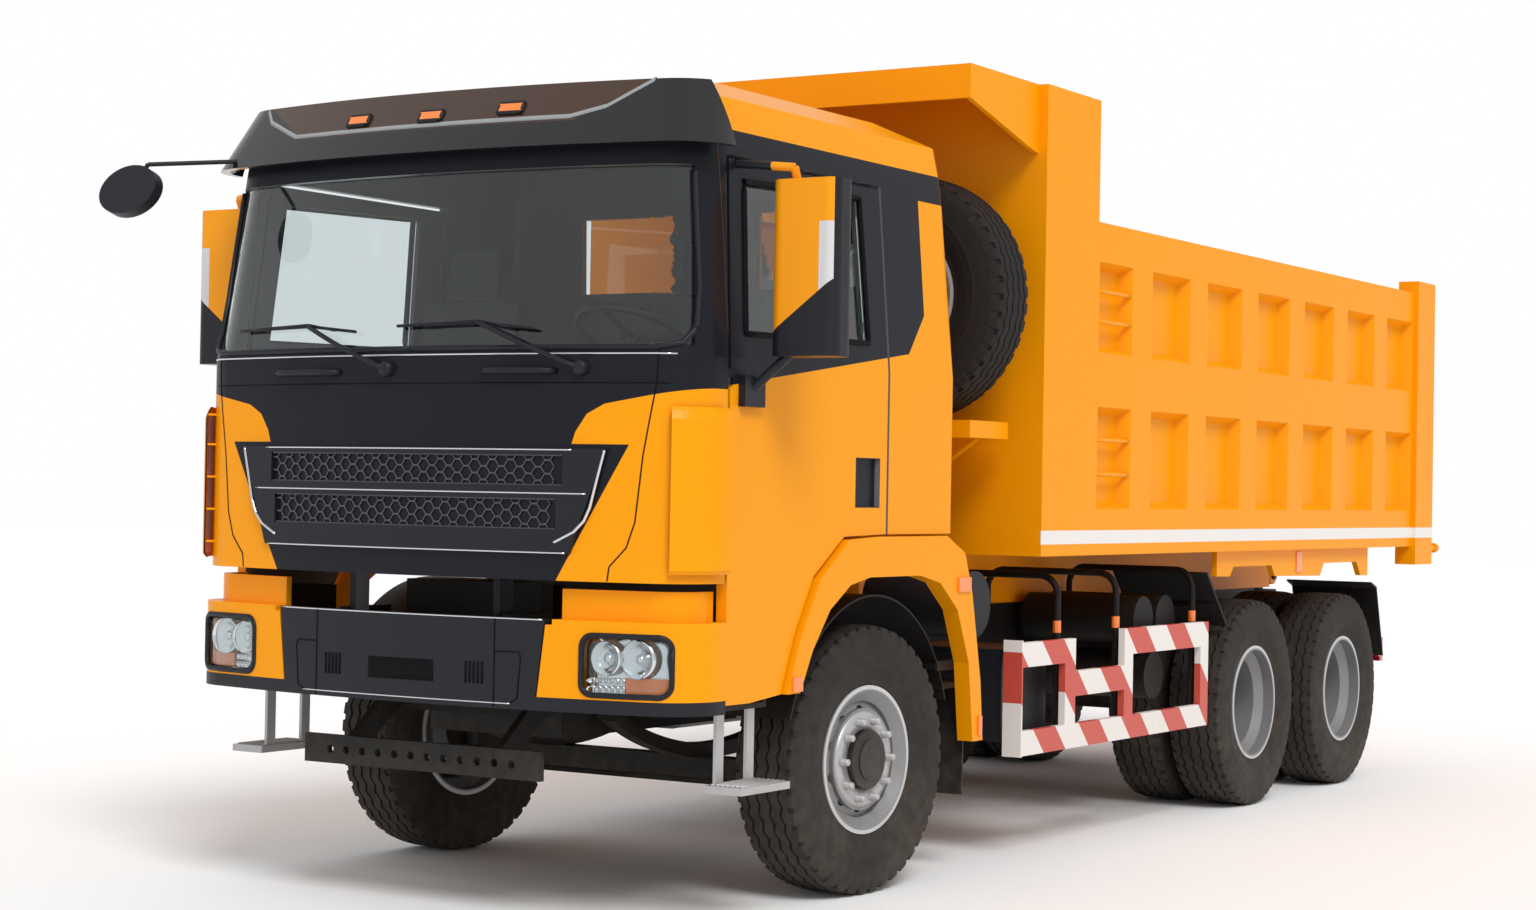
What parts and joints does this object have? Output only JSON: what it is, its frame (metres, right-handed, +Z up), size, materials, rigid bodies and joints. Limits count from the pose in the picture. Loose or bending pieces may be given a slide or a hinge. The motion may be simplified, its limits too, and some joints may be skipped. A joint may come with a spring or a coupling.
{
  "type": "tipper truck",
  "caption": "Cab-over tipper truck: tilting cab with opening doors, ribbed tipping bed with tailgate and telescopic hoist, steered front wheels, twin rear wheels.",
  "frame": {"origin": "on the ground, midway along and across the truck", "axes": "+Z up, -Y to the front, +X to the truck's left side"},
  "size_m": [3.14, 8.8121, 3.45],
  "materials": {
    "body": "gloss",
    "trim": "satin",
    "steel": "satin",
    "rim": "satin",
    "tyre": "matte",
    "glass": "clear",
    "lamp": "clear",
    "tail": "gloss",
    "stripe": "satin",
    "fabric": "matte",
    "ram": "polished",
    "tank": "satin"
  },
  "bodies": {
    "chassis": {"frame": "steel", "bumper_centre": "trim", "bumper_ends": "body", "headlamps": "lamp", "under_run_beam": "steel", "steps": "rim", "wheel_arches": "body", "mudguards": "trim", "battery_box": "trim", "fuel_tank": "tank", "air_tanks": "steel", "air_cleaner": "trim", "side_guards": "stripe", "guard_hoops": "steel", "tyre_spare": "tyre", "rim_spare": "rim", "spare_rack": "body", "tail_lamps": "tail", "front_axle": "steel", "leaf_springs": "steel", "drive_axles": "steel", "engine": "steel"},
    "knuckle_left": {"knuckle_left": "steel"},
    "knuckle_right": {"knuckle_right": "steel"},
    "tie_rod": {"tie_rod": "steel"},
    "wheel_front_left": {"tyre_front_left": "tyre", "rim_front_left": "rim"},
    "wheel_front_right": {"tyre_front_right": "tyre", "rim_front_right": "rim"},
    "wheels_mid_left": {"tyres_mid_left": "tyre", "rims_mid_left": "rim"},
    "wheels_mid_right": {"tyres_mid_right": "tyre", "rims_mid_right": "rim"},
    "wheels_rear_left": {"tyres_rear_left": "tyre", "rims_rear_left": "rim"},
    "wheels_rear_right": {"tyres_rear_right": "tyre", "rims_rear_right": "rim"},
    "cab": {"cab_shell": "body", "cab_glass": "glass", "visor": "trim", "grille": "trim", "corner_vanes": "body", "dashboard": "trim", "seats": "fabric", "steering_wheel": "trim", "front_mirror": "trim"},
    "door_left": {"door_left": "body", "door_glass_left": "glass", "door_mirror_left": "trim"},
    "door_right": {"door_right": "body", "door_glass_right": "glass", "door_mirror_right": "trim"},
    "bed": {"bed": "body"},
    "tailgate": {"tailgate": "body"},
    "hoist_tube": {"hoist_tube": "steel"},
    "hoist_stage_1": {"hoist_stage_1": "ram"},
    "hoist_stage_2": {"hoist_stage_2": "ram"},
    "hoist_stage_3": {"hoist_stage_3": "ram"}
  },
  "joints": [
    {"name": "steer_left", "type": "hinge", "parent": "chassis", "child": "knuckle_left", "pos_m": [0.85, -2.6, 0.5425], "axis": [0, 0, 1], "range_deg": [-30, 40]},
    {"name": "steer_right", "type": "hinge", "parent": "chassis", "child": "knuckle_right", "pos_m": [-0.85, -2.6, 0.5425], "axis": [0, 0, 1], "range_deg": [-30, 40]},
    {"name": "tie_rod_turn", "type": "hinge", "parent": "knuckle_left", "child": "tie_rod", "pos_m": [0.86525, -2.42567, 0.376], "axis": [0, 0, 1], "range_deg": [-40, 30]},
    {"name": "wheel_front_left_spin", "type": "hinge", "parent": "knuckle_left", "child": "wheel_front_left", "pos_m": [1.02184, -2.61503, 0.5425], "axis": [0.9962, -0.0872, 0], "continuous": true},
    {"name": "wheel_front_right_spin", "type": "hinge", "parent": "knuckle_right", "child": "wheel_front_right", "pos_m": [-1.02184, -2.58497, 0.5425], "axis": [0.9962, -0.0872, 0], "continuous": true},
    {"name": "wheels_mid_left_spin", "type": "hinge", "parent": "chassis", "child": "wheels_mid_left", "pos_m": [0.925, 1.375, 0.5425], "axis": [1, 0, 0], "continuous": true},
    {"name": "wheels_mid_right_spin", "type": "hinge", "parent": "chassis", "child": "wheels_mid_right", "pos_m": [-0.925, 1.375, 0.5425], "axis": [1, 0, 0], "continuous": true},
    {"name": "wheels_rear_left_spin", "type": "hinge", "parent": "chassis", "child": "wheels_rear_left", "pos_m": [0.925, 2.725, 0.5425], "axis": [1, 0, 0], "continuous": true},
    {"name": "wheels_rear_right_spin", "type": "hinge", "parent": "chassis", "child": "wheels_rear_right", "pos_m": [-0.925, 2.725, 0.5425], "axis": [1, 0, 0], "continuous": true},
    {"name": "cab_tilt", "type": "hinge", "parent": "chassis", "child": "cab", "pos_m": [0, -4, 1.1], "axis": [1, 0, 0], "range_deg": [0, 50]},
    {"name": "door_left_swing", "type": "hinge", "parent": "cab", "child": "door_left", "pos_m": [1.19, -3.775, 1.8], "axis": [0, 0, -1], "range_deg": [0, 70]},
    {"name": "door_right_swing", "type": "hinge", "parent": "cab", "child": "door_right", "pos_m": [-1.19, -3.775, 1.8], "axis": [0, 0, 1], "range_deg": [0, 70]},
    {"name": "bed_tip", "type": "hinge", "parent": "chassis", "child": "bed", "pos_m": [0, 3.7, 1.15], "axis": [-1, 0, 0], "range_deg": [0, 40]},
    {"name": "tailgate_swing", "type": "hinge", "parent": "bed", "child": "tailgate", "pos_m": [0, 4.188, 2.908], "axis": [1, 0, 0], "range_deg": [0, 75]},
    {"name": "hoist_lean", "type": "hinge", "parent": "chassis", "child": "hoist_tube", "pos_m": [0, -1.75, 1.09], "axis": [-1, 0, 0], "range_deg": [0, 27]},
    {"name": "hoist_extend_1", "type": "slide", "parent": "hoist_tube", "child": "hoist_stage_1", "axis": [0, 0, 1], "range_m": [0, 1.237]},
    {"name": "hoist_extend_2", "type": "slide", "parent": "hoist_stage_1", "child": "hoist_stage_2", "axis": [0, 0, 1], "range_m": [0, 1.237]},
    {"name": "hoist_extend_3", "type": "slide", "parent": "hoist_stage_2", "child": "hoist_stage_3", "axis": [0, 0, 1], "range_m": [0, 1.237]}
  ],
  "couplings": [
    {"joint": "steer_right", "follows": "steer_left", "ratio": 1},
    {"joint": "tie_rod_turn", "follows": "steer_left", "ratio": -1},
    {"joint": "hoist_lean", "follows": "bed_tip", "ratio": 0.65194},
    {"joint": "hoist_extend_1", "follows": "bed_tip", "m_per_rad": 1.7425},
    {"joint": "hoist_extend_2", "follows": "bed_tip", "m_per_rad": 1.7425},
    {"joint": "hoist_extend_3", "follows": "bed_tip", "m_per_rad": 1.7425}
  ]
}
